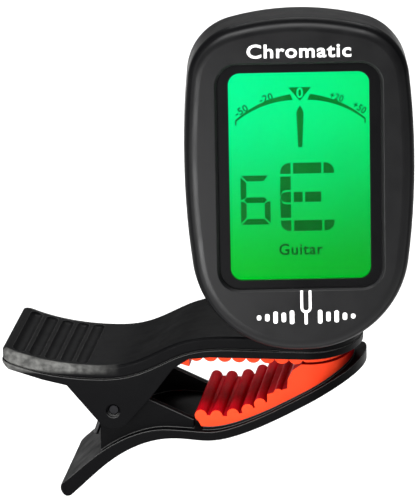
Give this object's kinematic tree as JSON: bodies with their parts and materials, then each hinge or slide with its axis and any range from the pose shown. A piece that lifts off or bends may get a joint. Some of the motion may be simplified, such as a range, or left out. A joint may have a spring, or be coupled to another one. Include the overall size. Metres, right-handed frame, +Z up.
{
  "type": "clip on tuner",
  "caption": "Clip-on instrument tuner: upright backlit screen in a rounded case, on a tilt and swivel yoke above a sprung clip with ribbed rubber jaws.",
  "frame": {"origin": "middle of the padded jaw gap, where the edge of a headstock is held", "axes": "+Z up through the upright head, +X along the clip from its thumb tabs to its nose, the screen looks towards -Y"},
  "size_m": [0.07, 0.033, 0.0858],
  "materials": {
    "clip_plastic": "fine matt mould texture",
    "grip_rubber": "translucent satin",
    "pin_steel": "blackened",
    "spring_steel": "drawn wire",
    "yoke_plastic": "satin",
    "screw_steel": "zinc plated",
    "washer_nylon": "natural nylon",
    "case_plastic": "soft satin",
    "button_rubber": "matt",
    "lens": "clear acrylic",
    "screen": "lit liquid crystal",
    "white_plastic": "moulded",
    "diffuser": "frosted acrylic",
    "led": "clear resin",
    "conductive_rubber": "layered silicone",
    "board": "solder mask",
    "component_black": "moulded epoxy",
    "component_metal": "nickel plated",
    "component_light": "ceramic",
    "cell_steel": "nickel plated steel",
    "piezo_brass": "satin",
    "lead_wire": "insulated wire"
  },
  "bodies": {
    "clip_upper": {"upper_arm": "clip_plastic", "upper_pad": "grip_rubber", "hinge_pin": "pin_steel", "torsion_spring": "spring_steel"},
    "clip_lower": {"lower_arm": "clip_plastic", "lower_pad": "grip_rubber"},
    "swivel": {"swivel_yoke": "yoke_plastic", "swivel_screw": "screw_steel", "wave_washer": "screw_steel", "tilt_screw": "screw_steel", "tilt_nut": "screw_steel", "friction_washers": "washer_nylon"},
    "head": {"front_shell": "case_plastic", "rear_shell": "case_plastic", "lens_window": "lens", "lcd_panel": "screen", "lcd_frame": "white_plastic", "light_guide": "diffuser", "backlight_leds": "led", "zebra_strip": "conductive_rubber", "main_pcb": "board", "controller_chip": "component_black", "crystal": "component_metal", "smd_parts": "component_light", "tact_switch": "component_black", "coin_holder": "component_black", "coin_cell": "cell_steel", "contact_negative": "component_metal", "contact_positive": "component_metal", "piezo_disc": "piezo_brass", "piezo_leads": "lead_wire", "shell_screws": "screw_steel", "pcb_screws": "screw_steel"},
    "mode_button": {"mode_button": "button_rubber"},
    "battery_cover": {"battery_cover": "case_plastic"}
  },
  "joints": [
    {"name": "jaw_open", "type": "hinge", "parent": "clip_upper", "child": "clip_lower", "pos_m": [-0.0232, 0, -0.0054], "axis": [0, 1, 0], "range_deg": [0, 40], "stiffness_Nm_per_rad": 0.25, "springref_deg": -34.38, "deforming": ["torsion_spring"]},
    {"name": "head_swivel", "type": "hinge", "parent": "clip_upper", "child": "swivel", "pos_m": [0.0069, 0, 0.0095], "axis": [0, 0, 1], "continuous": true},
    {"name": "head_tilt", "type": "hinge", "parent": "swivel", "child": "head", "pos_m": [0.0069, 0, 0.0146], "axis": [-0.9885, -0.1513, 0], "range_deg": [-1, 85]},
    {"name": "mode_press", "type": "slide", "parent": "head", "child": "mode_button", "axis": [0.1507, -0.9847, 0.0872], "range_m": [0, 0.0004], "stiffness_N_per_m": 600, "springref_m": -0.0005},
    {"name": "cover_twist", "type": "hinge", "parent": "head", "child": "battery_cover", "pos_m": [0.0077, -0.00522, 0.03915], "axis": [-0.1507, 0.9847, -0.0872], "range_deg": [0, 40]}
  ]
}
